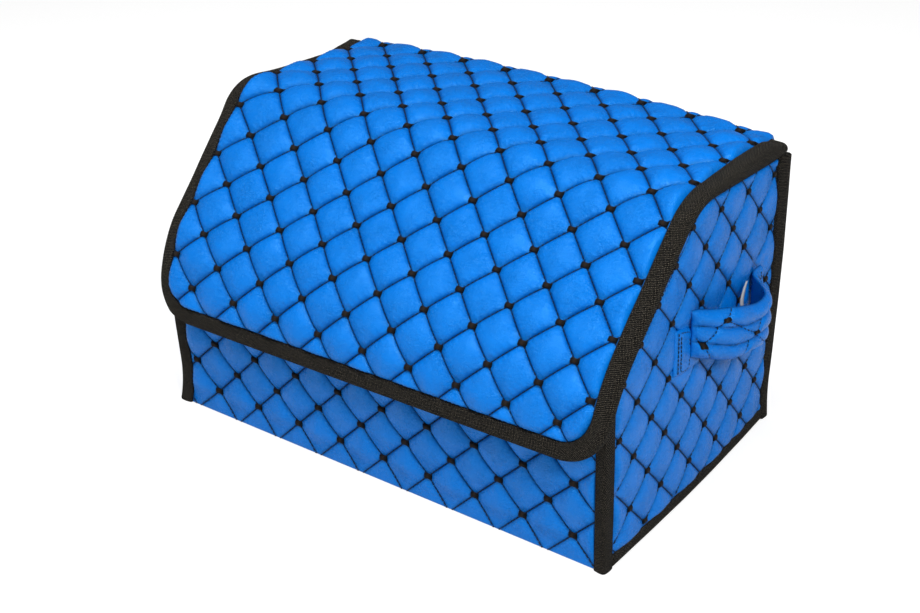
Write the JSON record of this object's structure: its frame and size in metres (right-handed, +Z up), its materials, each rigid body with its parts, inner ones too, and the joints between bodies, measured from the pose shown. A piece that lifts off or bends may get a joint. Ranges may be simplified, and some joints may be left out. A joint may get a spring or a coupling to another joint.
{
  "type": "car trunk organizer",
  "caption": "Rigid-walled trunk organizer in quilted blue leatherette with black edge tape, a hinged lid with a slanted folding flap and a sewn strap handle on each side.",
  "frame": {"origin": "middle of the bounding box on the ground plane the organizer stands on", "axes": "+X to the right along the width, front (low wall and flap edge) towards -Y, +Z up"},
  "size_m": [0.5754, 0.3276, 0.3121],
  "materials": {
    "leatherette": "soft gloss, fine grain",
    "woven_tape": "ribbed, matt",
    "lining_cloth": "matt",
    "fibreboard": "raw",
    "hook_and_loop": "matt pile"
  },
  "bodies": {
    "box": {"cover_front": "leatherette", "cover_back": "leatherette", "cover_left": "leatherette", "cover_right": "leatherette", "cover_bottom": "leatherette", "board_front": "fibreboard", "board_back": "fibreboard", "board_left": "fibreboard", "board_right": "fibreboard", "board_bottom": "fibreboard", "lining_front": "lining_cloth", "lining_back": "lining_cloth", "lining_left": "lining_cloth", "lining_right": "lining_cloth", "lining_bottom": "lining_cloth", "binding_corner_front_left": "woven_tape", "binding_corner_front_right": "woven_tape", "binding_corner_rear_left": "woven_tape", "binding_corner_rear_right": "woven_tape", "binding_bottom_left": "woven_tape", "binding_bottom_right": "woven_tape", "binding_bottom_rear": "woven_tape", "binding_rim_left": "woven_tape", "binding_rim_right": "woven_tape", "binding_rim_front": "woven_tape", "fold_rear": "leatherette", "handle_left": "leatherette", "handle_right": "leatherette", "closure_wall": "hook_and_loop"},
    "lid_top": {"cover_lid_top": "leatherette", "board_lid_top": "fibreboard", "lining_lid_top": "lining_cloth", "binding_lid_top_left": "woven_tape", "binding_lid_top_right": "woven_tape"},
    "flap": {"cover_lid_flap": "leatherette", "board_lid_flap": "fibreboard", "lining_lid_flap": "lining_cloth", "binding_lid_flap": "woven_tape", "closure_flap": "hook_and_loop"}
  },
  "joints": [
    {"name": "lid_hinge", "type": "hinge", "parent": "box", "child": "lid_top", "pos_m": [0, 0.15582, 0.28995], "axis": [-1, 0, 0], "range_deg": [0, 110]},
    {"name": "flap_hinge", "type": "hinge", "parent": "lid_top", "child": "flap", "pos_m": [0, -0.01332, 0.30865], "axis": [-1, 0, 0], "range_deg": [0, 150]}
  ]
}
